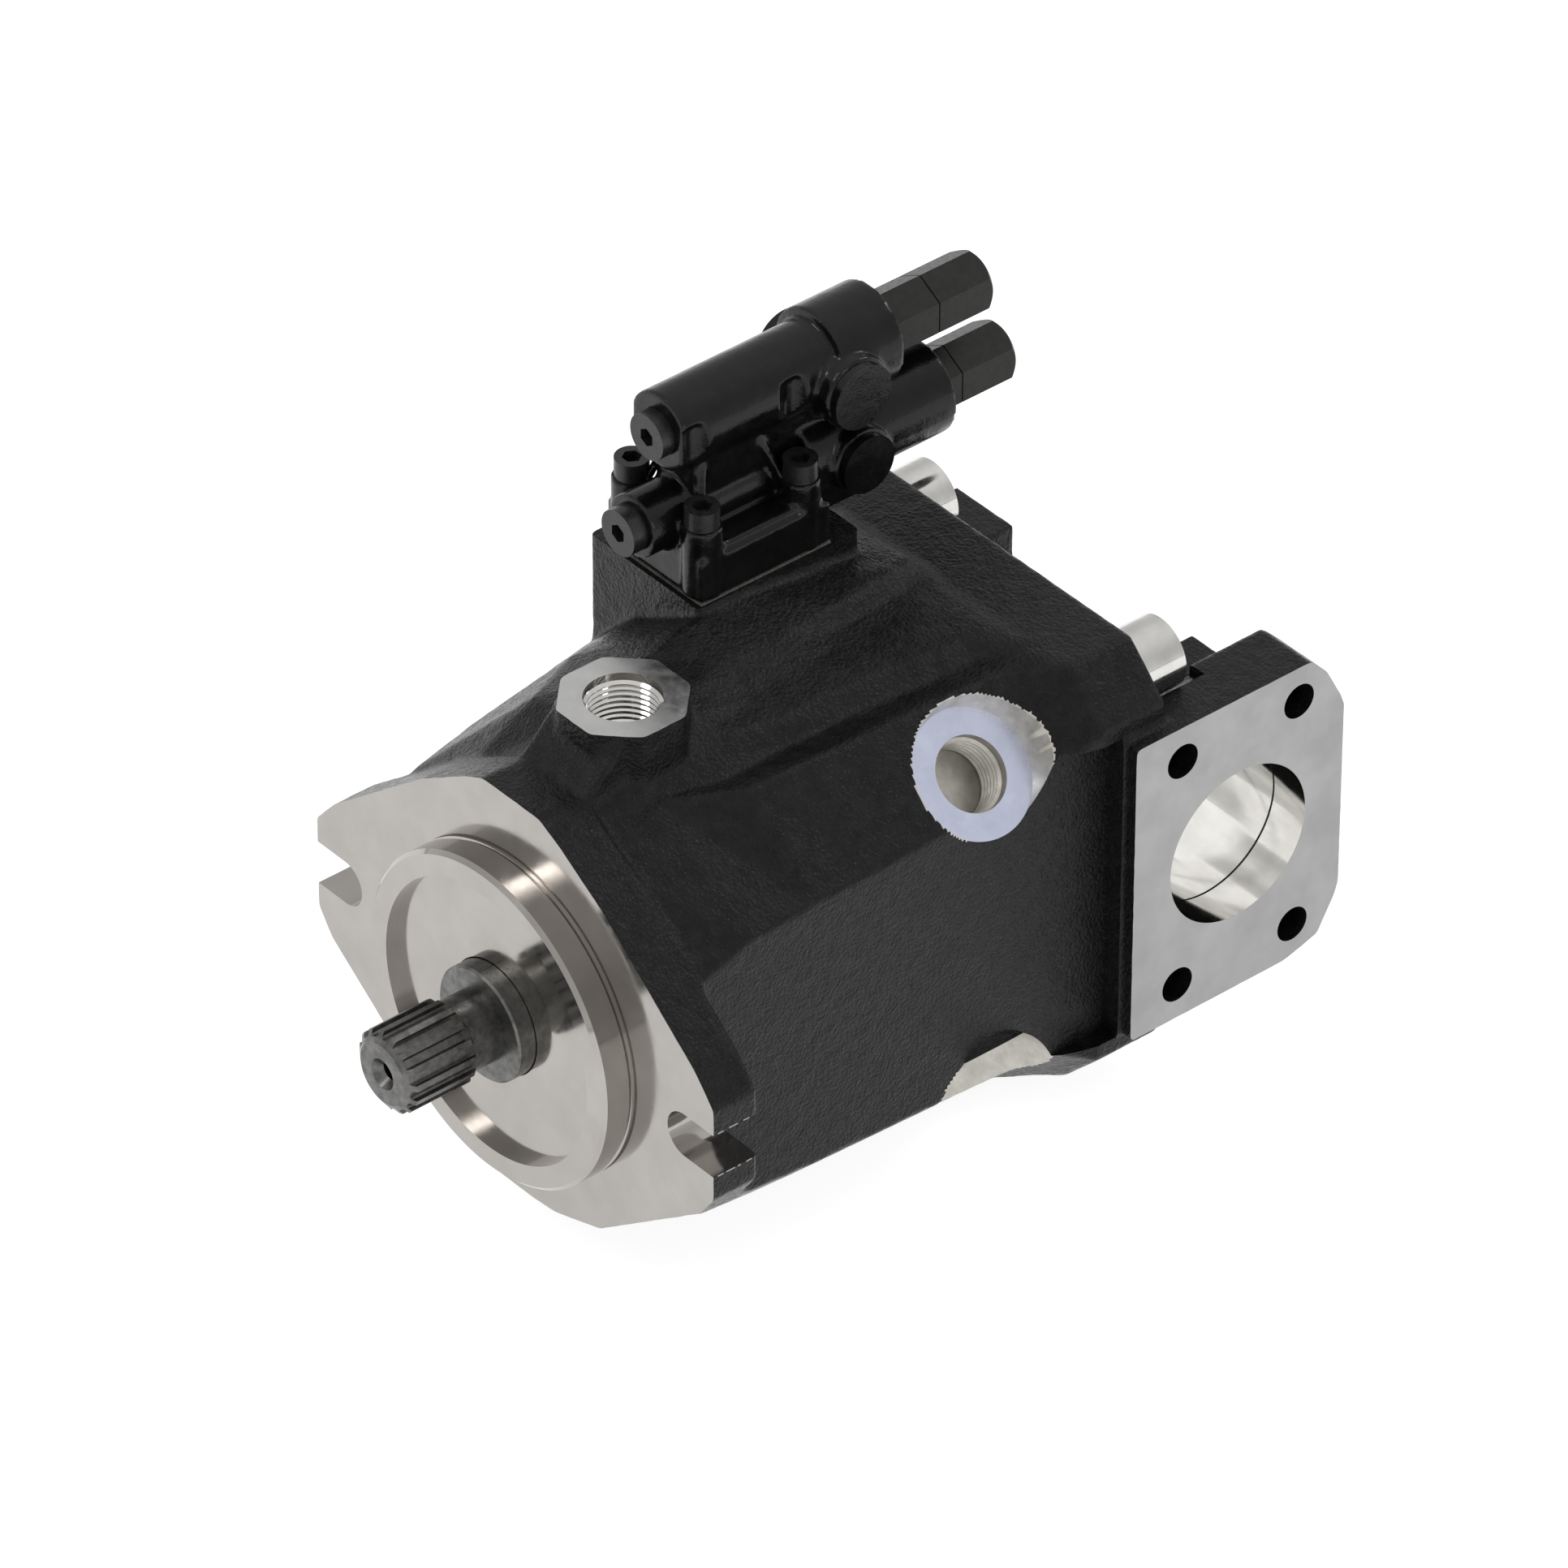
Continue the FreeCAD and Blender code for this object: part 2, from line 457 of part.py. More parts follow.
def make_fixed_parts():
    bolts = new_body("cover_bolts")
    for x, z in bolt_places():
        face = at.housing_end + at.cover_plate
        rod(bolts, "Shank", at.bolt_radius - FIT, at.cover_plate + at.bolt_thread_deep,
            (x, at.housing_end - at.bolt_thread_deep, z))
        rod(bolts, "Head", at.bolt_head, at.bolt_head_high, (x, face, z))
        hexagon(bolts, "Socket", Size(12.0, "12.0"), 8, (x, face + at.bolt_head_high - 7, z),
                kind="SubtractivePrism")
    carrier = new_body("seal_carrier")
    turned(carrier, "Disc", [(-at.recess_floor, at.collar_radius + SLIP), (-at.recess_floor, at.recess_radius),
                             (-1, at.recess_radius), (-1, at.collar_radius + SLIP)])
    seal = new_body("shaft_seal")
    front, back = at.seal_front, at.seal_back
    turned(seal, "Seal", [(front, at.collar_radius + SLIP), (front, at.seal_outer), (back, at.seal_outer),
                          (back, at.seal_outer - 2), (front + 2, at.seal_outer - 2),
                          (front + 2, at.collar_radius + 3), (back - 1, at.collar_radius + 2),
                          (back - 1, at.collar_radius + SLIP)])
    valve_plate = new_body("valve_plate")
    start = at.housing_end - at.valve_plate_thick
    turned(valve_plate, "Disc", [(start, 20), (start, at.valve_plate_radius),
                                 (at.housing_end, at.valve_plate_radius), (at.housing_end, 20)])
    pocket_box(valve_plate, "SuctionKidney", (29, start - 1, -22), (37, at.housing_end + 1, 22))
    for place in (-13, 0, 13):
        pocket_box(valve_plate, "PressureSlot", (-36, start - 1, place - 5), (-30, at.housing_end + 1, place + 5))
    for name, side in (("right", 1), ("left", -1)):
        shell = new_body(f"cradle_bearing_{name}")
        start_x = 28 if side > 0 else -44
        seat = at.cradle_radius + at.shell_thick
        rod(shell, "Shell", seat, 16, (start_x, at.pivot_y, 0), "X")
        bore(shell, "Race", at.cradle_radius + FIT, 18, (start_x - 1, at.pivot_y, 0), "X")
        pocket_box(shell, "Opening", (start_x - 1, 46, -60), (start_x + 17, 140, 60))
    sleeve = new_body("control_sleeve")
    place = (-at.actuator_x, 112, at.actuator_z)
    rod(sleeve, "Sleeve", at.actuator_bore, at.housing_end - 112, place)
    bore(sleeve, "SleeveBore", 6.5, 45, (place[0], 111, place[2]))


# ---------------------------------------------------------------- shaft line
def make_bearing(prefix, shaft_radius, outer, front, back, wide_front):
    """A tapered roller bearing: its cup in the casting, and its cone with the rollers on the shaft."""
    middle = (outer - shaft_radius) / 2 + shaft_radius
    rise = -1.5 if wide_front else 1.5
    cup = new_body(f"{prefix}_bearing_cup")
    turned(cup, "Cup", [(front, outer), (back, outer), (back, middle + 3.4 + rise),
                        (front, middle + 3.4 - rise)])
    inner = new_body(f"{prefix}_bearing_cone")
    turned(inner, "Cone", [(front, shaft_radius + BEARING_FIT), (back, shaft_radius + BEARING_FIT),
                           (back, middle - 3.4 + rise), (front, middle - 3.4 - rise)])
    turned(inner, "Rollers", [(front + 2, middle - 3.0 - rise), (back - 2, middle - 3.0 + rise),
                                (back - 2, middle + 3.0 + rise), (front + 2, middle + 3.0 - rise)])


def make_shaft():
    body = new_body("drive_shaft")
    tip = -at.shaft_tip
    turned(body, "Shaft", [
        (tip, 0), (tip, at.spline_radius - 3.2), (tip + 2.2, at.spline_radius),
        (-at.spline_end - 1.5, at.spline_radius), (-at.spline_end, at.neck_radius),
        (-at.collar_face, at.neck_radius), (-at.collar_face, at.collar_radius - 0.6),
        (-at.collar_face + 0.6, at.collar_radius), (at.front_bearing_back, at.collar_radius),
        (at.front_bearing_back, 19), (at.front_bearing_back + 3, 19), (at.front_bearing_back + 3, at.shaft_radius),
        (125, at.shaft_radius), (125, 13), (at.rear_bearing_front, 13),
        (at.rear_bearing_front, at.journal_radius), (at.shaft_back, at.journal_radius), (at.shaft_back, 0)])
    turned(body, "CentreHole", [(tip - 0.5, 0), (tip - 0.5, at.centre_mouth + 0.3), (tip + 2.8, at.centre_hole),
                                (tip + 14, at.centre_hole), (tip + 16, 0)], cut=True)
    half = 1.55
    sketch = outline(sketch_on(body, "ToothGap", "XZ_Plane", at.shaft_tip + 1),
                     [(-half, at.spline_root + 0.5), (-half + 0.45, at.spline_root), (half - 0.45, at.spline_root),
                      (half, at.spline_root + 0.5), (half + 0.3, at.spline_radius + 1),
                      (-half - 0.3, at.spline_radius + 1)])
    gap = body.newObject("PartDesign::Pocket", "Gap")
    gap.Profile = sketch
    bind(gap, "Length", at.shaft_tip - at.spline_end + 1)
    gap.Reversed = False
    doc.recompute()
    pattern = body.newObject("PartDesign::PolarPattern", "Spline")
    pattern.Originals = [gap]
    pattern.Axis = (origin_plane(body, "Y_Axis"), [""])
    pattern.Angle = 360
    pattern.Occurrences = SPLINE_TEETH
    body.Tip = pattern
    return body


def bore_circle_place(index, radius):
    angle = 2 * math.pi * index / PISTONS + math.pi / 2
    return radius * math.cos(angle), radius * math.sin(angle)


def make_rotating_group():
    rear = at.housing_end - at.valve_plate_thick
    block = new_body("cylinder_block")
    turned(block, "Block", [(at.block_front_y, at.shaft_radius + 0.05), (at.block_front_y, at.block_radius - 1),
                            (at.block_front_y + 1, at.block_radius), (rear, at.block_radius), (rear, 22),
                            (120, 22), (120, at.shaft_radius + 0.05)])
    for index in range(PISTONS):
        x, z = bore_circle_place(index, at.bore_circle)
        bore(block, f"Bore{index}", at.bore_radius, 49, (x, at.block_front_y - 1, z))
        x, z = bore_circle_place(index, at.bore_circle - 5.5)
        bore(block, f"Port{index}", 4, 12, (x, rear - 11, z))
    spring = new_body("block_spring")
    for turn in range(7):
        primitive(spring, "AdditiveTorus", f"Coil{turn}", (0, 123.5 + 4.1 * turn, 0), Radius1=18, Radius2=1.9)
    guide = new_body("retainer_guide")
    primitive(guide, "AdditiveSphere", "Ball", (0, at.pivot_y, 0), Radius=25)
    pocket_box(guide, "FrontCut", (-30, 40, -30), (30, at.pivot_y - 0.5, 30))
    pocket_box(guide, "BackCut", (-30, 92, -30), (30, 130, 30))
    bore(guide, "GuideBore", at.shaft_radius + 0.05, 60, (0, 60, 0))
    pins = new_body("hold_down_pins")
    for index in range(3):
        angle = 2 * math.pi * index / 3 + math.pi / 2
        rod(pins, f"Pin{index}", 1.2, 8, (17.5 * math.cos(angle), 92, 17.5 * math.sin(angle)))


def make_swash_group():
    swash = at.pivot_y - at.swash_gap
    cradle = new_body("cradle")
    rod(cradle, "Rocker", at.cradle_radius, at.cradle_half_x * 2, (-at.cradle_half_x, at.pivot_y, 0), "X")
    pocket_box(cradle, "RockerCut", (-60, swash - 1, -60), (60, 140, 60))
    rod(cradle, "Disc", at.cradle_disc, at.cradle_disc_thick, (0, swash - at.cradle_disc_thick, 0))
    for side in (1, -1):
        x = at.actuator_x * -side
        low, high = sorted((40 * side, 64 * side))
        box(cradle, "EarRoot", (x - 6, swash - at.cradle_disc_thick, low), (x + 6, swash, high))
        low, high = sorted((52.5 * side, 64 * side))
        box(cradle, "Ear", (x - 6, swash - 1, low), (x + 6, at.pivot_y, high))
    cone(cradle, "ShaftRoom", 37, 20, 42, (0, swash - 40, 0), kind="SubtractiveCone")
    retainer = new_body("retainer_plate")
    turned(retainer, "Plate", [(swash + 4.4, 25.5), (swash + 4.4, 52), (swash + 8, 52), (swash + 8, 29),
                               (at.pivot_y + 4, 29), (at.pivot_y + 4, 25.5)])
    primitive(retainer, "SubtractiveSphere", "BallSeat", (0, at.pivot_y, 0), Radius=25.4)
    for index in range(PISTONS):
        x, z = bore_circle_place(index, at.ball_circle)
        bore(retainer, f"SlipperHole{index}", 9.8, 20, (x, swash, z))
    for index in range(PISTONS):
        x, z = bore_circle_place(index, at.ball_circle)
        make_slipper(index + 1, (x, at.pivot_y, z))
        make_piston(index + 1, (x, at.pivot_y, z))


def make_slipper(number, place):
    slipper = new_body(f"slipper_{number}", place)
    foot = -at.swash_gap
    turned(slipper, "Body", [(foot + FIT, 0), (foot + FIT, 12), (foot + 4, 12), (foot + 4, 9.4), (3, 9.4), (3, 0)])
    primitive(slipper, "SubtractiveSphere", "Socket", (0, 0, 0), Radius=at.ball_radius + FIT)
    bore(slipper, "Pocket", 7, 1, (0, foot, 0))
    bore(slipper, "OilHole", 1, 10, (0, foot, 0))


def make_piston(number, place):
    piston = new_body(f"piston_{number}", place)
    primitive(piston, "AdditiveSphere", "Ball", (0, 0, 0), Radius=at.ball_radius)
    turned(piston, "Barrel", [(0, 0), (0, 4.5), (8, 4.5), (11, at.piston_radius - 0.5), (12, at.piston_radius),
                              (at.piston_long - 0.5, at.piston_radius), (at.piston_long, at.piston_radius - 0.5),
                              (at.piston_long, 0)])
    bore(piston, "Hollow", 5, 35, (0, at.piston_long - 34, 0))


def make_actuators():
    x, z = at.actuator_x, at.actuator_z
    control = new_body("control_piston", (-x, at.pivot_y + 0.5, z))
    primitive(control, "AdditiveSphere", "Nose", (0, 6.3, 0), Radius=6.3)
    rod(control, "Stem", 6.3, at.stem_long, (0, 6.3, 0))
    seat = new_body("bias_seat", (x, at.pivot_y + 0.5, -z))
    primitive(seat, "AdditiveSphere", "Nose", (0, 5, 0), Radius=5)
    turned(seat, "Stem", [(5, 0), (5, 5), (14, 5), (14, 8), (17, 8), (17, 4), (50, 4), (50, 0)])
    spring = new_body("bias_spring", (x, 0, -z))
    for turn in range(17):
        primitive(spring, "AdditiveTorus", f"Coil{turn}", (0, at.bias_start + at.bias_pitch * turn, 0),
                  Radius1=6.3, Radius2=1.3)


# ---------------------------------------------------------------- control valve
def make_valve():
    body = new_body("valve_body")
    x = -at.valve_x
    base = at.block_top + at.gasket_thick
    box(body, "Base", (x - at.valve_half_x, at.valve_front + 1, base),
        (x + at.valve_half_x - 1, at.valve_rear, at.lower_z - 6))
    box(body, "Web", (x - 8, at.valve_front + 8, base), (x + 8, at.upper_back - 6, at.upper_z))
    for index, (sx, sy) in enumerate(screw_places()):
        rod(body, f"ScrewBoss{index}", 5.8, at.screw_seat - base, (sx, sy, base), "Z")
    rod(body, "LowerFront", 9.5, 60, (x, at.lower_boss_front, at.lower_z))
    rod(body, "LowerRear", 14.5, at.lower_back - 128, (x, 128, at.lower_z))
    rod(body, "UpperFront", 12, 60, (x, at.upper_boss_front, at.upper_z))
    rod(body, "UpperRear", 15, at.upper_back - 139, (x, 139, at.upper_z))
    rod(body, "UpperSideBoss", 11, 17, (x, 141.8, 128.4), "X")
    rod(body, "LowerSideBoss", 10, 16, (x, 144.9, 103.7), "X")
    rod(body, "FarSideBoss", 11, 17, (x, 147, 124), "-X")
    for name, z, first, chamber, back in (
            ("Lower", at.lower_z, at.lower_boss_front, at.lower_chamber, at.lower_back),
            ("Upper", at.upper_z, at.upper_boss_front, at.upper_chamber, at.upper_back)):
        bore(body, f"{name}SpoolBore", at.spool_bore, 75, (x, first - 1, z))
        bore(body, f"{name}Chamber", at.chamber_radius, back - chamber + 1, (x, chamber, z))
    for index, (sx, sy) in enumerate(screw_places()):
        bore(body, f"ScrewBore{index}", at.screw_radius + 0.3, 40, (sx, sy, base - 1), "Z")
        bore(body, f"HeadRoom{index}", at.screw_head + 0.3, 30, (sx, sy, at.screw_seat), "Z")
    gasket = new_body("valve_gasket")
    box(gasket, "Gasket", (x - at.valve_half_x, at.valve_front + 1, at.block_top),
        (x + at.valve_half_x - 1, at.valve_rear, base))
    for index, (sx, sy) in enumerate(screw_places()):
        bore(gasket, f"Hole{index}", at.screw_radius + 0.3, 5, (sx, sy, at.block_top - 2), "Z")
    screws = new_body("valve_screws")
    for index, (sx, sy) in enumerate(screw_places()):
        rod(screws, f"Shank{index}", at.screw_radius - FIT, at.screw_seat - at.block_top + 12,
            (sx, sy, at.block_top - 12), "Z")
        rod(screws, f"Head{index}", at.screw_head, 6, (sx, sy, at.screw_seat), "Z")
        hexagon(screws, f"Socket{index}", Size(5.0, "5.0"), 4, (sx, sy, at.screw_seat + 3), "Z",
                "SubtractivePrism")


def make_valve_line(name, z, plug_front, boss_front, spool_front, chamber, back, gap, end):
    """One bore of the valve: front plug, spool, spring, and the adjuster behind it."""
    x = -at.valve_x
    plug = new_body(f"{name}_end_plug")
    rod(plug, "Head", 7, boss_front - plug_front, (x, plug_front, z))
    rod(plug, "Thread", at.spool_bore, 8, (x, boss_front, z))
    hexagon(plug, "Socket", Size(5.0, "5.0"), 4, (x, plug_front - 1, z), kind="SubtractivePrism")
    spool = new_body(f"{name}_spool", (x, 0, z))
    lands = [(spool_front, 0), (spool_front, at.spool_radius)]
    for groove in (14, 28):
        lands += [(spool_front + groove, at.spool_radius), (spool_front + groove, 3.5),
                  (spool_front + groove + 6, 3.5), (spool_front + groove + 6, at.spool_radius)]
    lands += [(chamber + 1, at.spool_radius), (chamber + 1, 0)]
    turned(spool, "Spool", lands)
    turned(spool, "Cup", [(chamber + 0.8, 0), (chamber + 0.8, 9), (chamber + 9, 9), (chamber + 9, 7.6),
                          (chamber + 3, 7.6), (chamber + 3, 0)])
    spring = new_body(f"{name}_spring", (x, 0, z))
    for turn in range(4):
        primitive(spring, "AdditiveTorus", f"Coil{turn}", (0, chamber + 7.5 + 2.5 * turn, 0), Radius1=6,
                  Radius2=1.3)
    adjuster = new_body(f"{name}_adjuster_body", (x, 0, z))
    turned(adjuster, "Thread", [(back - 12, 4.6), (back - 12, at.chamber_radius), (back, at.chamber_radius),
                                (back, 4.6)])
    hexagon(adjuster, "Hexagon", at.hex_flats, gap - back, (0, back, 0))
    bore(adjuster, "Bore", 4.6, 60, (0, back - 13, 0))
    screw = new_body(f"{name}_adjusting_screw", (x, 0, z))
    rod(screw, "Screw", 4.5, end - back + 2, (0, back - 10, 0))
    cap = new_body(f"{name}_cap_nut", (x, 0, z))
    hexagon(cap, "Hexagon", at.hex_flats, end - gap - 0.4, (0, gap + 0.4, 0))
    bore(cap, "Bore", 4.8, end - gap - 4, (0, gap - 1, 0))
    turned(cap, "EndChamfer", [(end - 2.5, at.hex_flats / math.sqrt(3) + 1), (end + 1, 7.2),
                               (end + 1, at.hex_flats / math.sqrt(3) + 1)], cut=True)


def make_side_plugs():
    x = -at.valve_x
    for name, start, length, axis, y, z, radius in (
            ("upper_side_plug", 17, 2.5, "X", 141.8, 128.4, 10), ("lower_side_plug", 16, 2.5, "X", 144.9, 103.7, 9),
            ("far_side_plug", 17, 3.5, "-X", 147, 124, 10)):
        plug = new_body(name)
        step = start if axis == "X" else -start
        rod(plug, "Head", radius, length, (x + step, y, z), axis)


make_housing()
make_cover()
make_fixed_parts()
make_bearing("front", at.collar_radius, at.front_bearing_outer, at.front_bearing_front, at.front_bearing_back,
             False)
make_bearing("rear", at.journal_radius, at.rear_bearing_outer, at.rear_bearing_front, at.rear_bearing_back, True)
make_shaft()
make_rotating_group()
make_swash_group()
make_actuators()
make_valve()
make_valve_line("lower", at.lower_z, at.lower_plug_front, at.lower_boss_front, at.lower_spool_front,
                at.lower_chamber, at.lower_back, at.lower_gap, at.lower_end)
make_valve_line("upper", at.upper_z, at.upper_plug_front, at.upper_boss_front, at.upper_spool_front,
                at.upper_chamber, at.upper_back, at.upper_gap, at.upper_end)
make_side_plugs()

doc.recompute()
for item in doc.Objects:
    if "Invalid" in item.State or "Error" in item.State:
        raise RuntimeError(f"{item.Label} did not build: {item.State}")
os.makedirs("parts", exist_ok=True)
for part in parts:
    shape = part.Shape
    if shape.isNull() or not shape.isValid():
        raise RuntimeError(f"{part.Label} has no valid shape")
    shape.exportStep(os.path.join("parts", f"{part.Label}.step"))
print(len(parts), "parts written")
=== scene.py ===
import json
import math
import bmesh
import bpy
from mathutils import Matrix, Vector


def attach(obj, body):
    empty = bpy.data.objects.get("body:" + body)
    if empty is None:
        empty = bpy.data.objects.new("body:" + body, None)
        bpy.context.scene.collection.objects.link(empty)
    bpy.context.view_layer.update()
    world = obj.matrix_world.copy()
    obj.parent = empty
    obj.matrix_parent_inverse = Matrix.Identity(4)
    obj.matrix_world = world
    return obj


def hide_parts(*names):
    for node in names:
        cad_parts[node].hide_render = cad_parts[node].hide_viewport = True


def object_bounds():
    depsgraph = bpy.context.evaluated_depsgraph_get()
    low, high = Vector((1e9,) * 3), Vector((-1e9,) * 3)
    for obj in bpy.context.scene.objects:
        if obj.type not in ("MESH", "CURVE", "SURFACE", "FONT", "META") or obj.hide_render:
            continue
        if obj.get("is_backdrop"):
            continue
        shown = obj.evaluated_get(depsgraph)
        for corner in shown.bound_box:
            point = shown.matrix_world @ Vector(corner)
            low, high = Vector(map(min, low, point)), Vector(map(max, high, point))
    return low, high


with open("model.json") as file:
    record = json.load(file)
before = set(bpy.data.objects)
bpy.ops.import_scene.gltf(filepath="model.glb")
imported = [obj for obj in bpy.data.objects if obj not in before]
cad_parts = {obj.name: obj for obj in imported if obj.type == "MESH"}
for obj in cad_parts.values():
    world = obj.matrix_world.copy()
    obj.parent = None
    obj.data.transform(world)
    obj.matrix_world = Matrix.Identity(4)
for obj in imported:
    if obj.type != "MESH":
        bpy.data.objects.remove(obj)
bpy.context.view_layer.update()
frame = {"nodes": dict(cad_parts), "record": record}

MM = 0.001
ROOT_HALF = math.sqrt(0.5)

# ------------------------------------------------------------------ camera
TARGET = Vector((0.0, 0.100, 0.0))
AZIMUTH, ELEVATION, ROLL = map(math.radians, (49.653, 37.49, 0.23))
DISTANCE = 3.7487
LENS, SENSOR = 311.04, 36.0
AIM_RIGHT, AIM_UP = -0.00257, 0.02218

back = Vector((math.sin(AZIMUTH) * math.cos(ELEVATION), -math.cos(AZIMUTH) * math.cos(ELEVATION),
               math.sin(ELEVATION)))
right = Vector((math.cos(AZIMUTH), math.sin(AZIMUTH), 0.0))
up = back.cross(right)
cam_data = bpy.data.cameras.new("Camera")
cam_data.lens, cam_data.sensor_width = LENS, SENSOR
cam_data.clip_start, cam_data.clip_end = 0.1, 60.0
camera = bpy.data.objects.new("Camera", cam_data)
bpy.context.collection.objects.link(camera)
place = TARGET + back * DISTANCE
aim = TARGET + right * AIM_RIGHT + up * AIM_UP
view = (place - aim).normalized()
side = up.cross(view).normalized()
turn = Matrix((side, view.cross(side), view)).transposed().to_4x4()
camera.matrix_world = Matrix.Translation(place) @ turn @ Matrix.Rotation(ROLL, 4, "Z")
bpy.context.scene.camera = camera
bpy.context.scene.view_settings.view_transform = "Standard"


# ------------------------------------------------------------------ materials
def new_material(name):
    mat = bpy.data.materials.new(name)
    mat.use_nodes = True
    tree = mat.node_tree
    return mat, tree, tree.nodes["Principled BSDF"]


def noise(tree, scale, detail=3.0, rough=0.55):
    """A noise texture in object space; scale is in features per metre."""
    coord = tree.nodes.new("ShaderNodeTexCoord")
    tex = tree.nodes.new("ShaderNodeTexNoise")
    tex.inputs["Scale"].default_value = scale
    tex.inputs["Detail"].default_value = detail
    tex.inputs["Roughness"].default_value = rough
    tree.links.new(coord.outputs["Object"], tex.inputs["Vector"])
    return tex.outputs["Fac"]


def ramp(tree, value, low, high, start=0.3, end=0.7):
    """Maps a value to a colour between two colours, or between two greys."""
    node = tree.nodes.new("ShaderNodeValToRGB")
    for element, level, at_ in zip(node.color_ramp.elements, (low, high), (start, end)):
        colour = level if isinstance(level, tuple) else (level,) * 3
        element.color, element.position = (*colour, 1.0), at_
    tree.links.new(value, node.inputs["Fac"])
    return node.outputs["Color"]


def bump(tree, shader, layers):
    """Stacks bump layers of (height socket, strength, distance in metres)."""
    last = None
    for height, strength, distance in layers:
        node = tree.nodes.new("ShaderNodeBump")
        node.inputs["Strength"].default_value = strength
        node.inputs["Distance"].default_value = distance
        tree.links.new(height, node.inputs["Height"])
        if last:
            tree.links.new(last, node.inputs["Normal"])
        last = node.outputs["Normal"]
    tree.links.new(last, shader.inputs["Normal"])


def surface(name, low, high, rough, metallic, colour_scale, layers, specular=0.5):
    """A procedural material: colour and roughness vary, and bump layers are (scale, strength, mm)."""
    mat, tree, shader = new_material(name)
    shader.inputs["Metallic"].default_value = metallic
    shader.inputs["Specular IOR Level"].default_value = specular
    tree.links.new(ramp(tree, noise(tree, colour_scale), low, high), shader.inputs["Base Color"])
    tree.links.new(ramp(tree, noise(tree, colour_scale * 2.3), *rough), shader.inputs["Roughness"])
    bump(tree, shader, [(noise(tree, scale), strength, mm * MM) for scale, strength, mm in layers])
    return mat


CAST = surface("cast_black_paint", (0.0035, 0.0035, 0.0035), (0.0095, 0.0095, 0.0100), (0.16, 0.34), 0.0, 240,
               [(260, 0.50, 0.55), (900, 1.0, 0.50)], specular=0.17)
GLOSS = surface("valve_gloss_black", (0.002, 0.002, 0.002), (0.005, 0.005, 0.005), (0.10, 0.22), 0.0, 160,
                [(260, 0.30, 0.3), (1500, 0.45, 0.12)], specular=0.28)
PLUG = surface("black_oxide", (0.008, 0.008, 0.008), (0.018, 0.018, 0.017), (0.25, 0.42), 0.2, 500,
               [(1800, 0.2, 0.05)])
ADJUST = surface("olive_black_plating", (0.009, 0.0088, 0.007), (0.016, 0.0155, 0.013), (0.32, 0.45), 0.3,
                 400, [(2400, 0.15, 0.03)], specular=0.3)
MACHINED = surface("machined_iron", (0.375, 0.355, 0.334), (0.425, 0.405, 0.382), (0.08, 0.16), 1.0, 60,
                   [(60, 0.03, 0.15), (2600, 0.06, 0.02)])
MILLED = surface("milled_port_face", (0.31, 0.305, 0.304), (0.37, 0.365, 0.364), (0.14, 0.24), 1.0, 70,
                 [(60, 0.03, 0.15), (2600, 0.06, 0.02)])
SEAT = surface("bluish_machined_seat", (0.58, 0.615, 0.76), (0.65, 0.685, 0.84), (0.22, 0.34), 1.0, 120,
               [(1800, 0.06, 0.02)])
SPOT = surface("spot_faced_boss", (0.54, 0.535, 0.53), (0.62, 0.615, 0.61), (0.20, 0.30), 1.0, 120,
               [(1800, 0.06, 0.02)])
BARE = surface("bare_cast_wall", (0.46, 0.44, 0.40), (0.60, 0.58, 0.53), (0.30, 0.48), 0.8, 260,
               [(700, 0.35, 0.10)])
CHROME = surface("polished_steel", (0.58, 0.57, 0.55), (0.70, 0.69, 0.67), (0.07, 0.15), 1.0, 120,
                 [(1500, 0.05, 0.02)])
BORED = surface("bored_steel", (0.86, 0.855, 0.84), (0.93, 0.925, 0.91), (0.05, 0.10), 1.0, 90,
                [(1500, 0.03, 0.02)])
SHAFT = surface("dark_ground_steel", (0.10, 0.10, 0.098), (0.19, 0.187, 0.18), (0.26, 0.40), 1.0, 380,
                [(1500, 0.22, 0.04)])
STEEL = surface("ground_steel", (0.40, 0.40, 0.39), (0.50, 0.50, 0.49), (0.20, 0.32), 1.0, 300,
                [(1800, 0.1, 0.02)])
SPRING = surface("oiled_spring_steel", (0.16, 0.16, 0.16), (0.26, 0.26, 0.26), (0.28, 0.4), 1.0, 400,
                 [(1600, 0.15, 0.03)])
BRONZE = surface("machined_bronze", (0.48, 0.32, 0.14), (0.60, 0.42, 0.20), (0.25, 0.38), 1.0, 300,
                 [(1800, 0.1, 0.02)])
RUBBER = surface("seal_rubber", (0.018, 0.014, 0.014), (0.035, 0.028, 0.028), (0.5, 0.7), 0.0, 500,
                 [(1500, 0.3, 0.05)])
FIBRE = surface("gasket_fibre", (0.05, 0.05, 0.045), (0.12, 0.12, 0.10), (0.6, 0.8), 0.0, 900,
                [(2200, 0.4, 0.06)])
BY_SLOT = {
    "painted_casting": CAST, "machined_steel": MACHINED, "shaft_steel": SHAFT, "zinc_steel": CHROME,
    "valve_black": GLOSS, "plug_black": PLUG, "adjuster_dark": ADJUST, "bearing_steel": STEEL,
    "spring_steel": SPRING, "bronze": BRONZE, "seal_rubber": RUBBER, "gasket_fibre": FIBRE,
}
for row in frame["record"]["subparts"]:
    node = frame["nodes"][row["node"]]
    node.data.materials.clear()
    node.data.materials.append(BY_SLOT[row["material_slot"]])
    node.data.set_sharp_from_angle(angle=math.radians(32))


# ------------------------------------------------------------------ mesh helpers, all in millimetres
def add_object(name, mesh):
    item = bpy.data.objects.new(name, mesh)
    bpy.context.collection.objects.link(item)
    return item


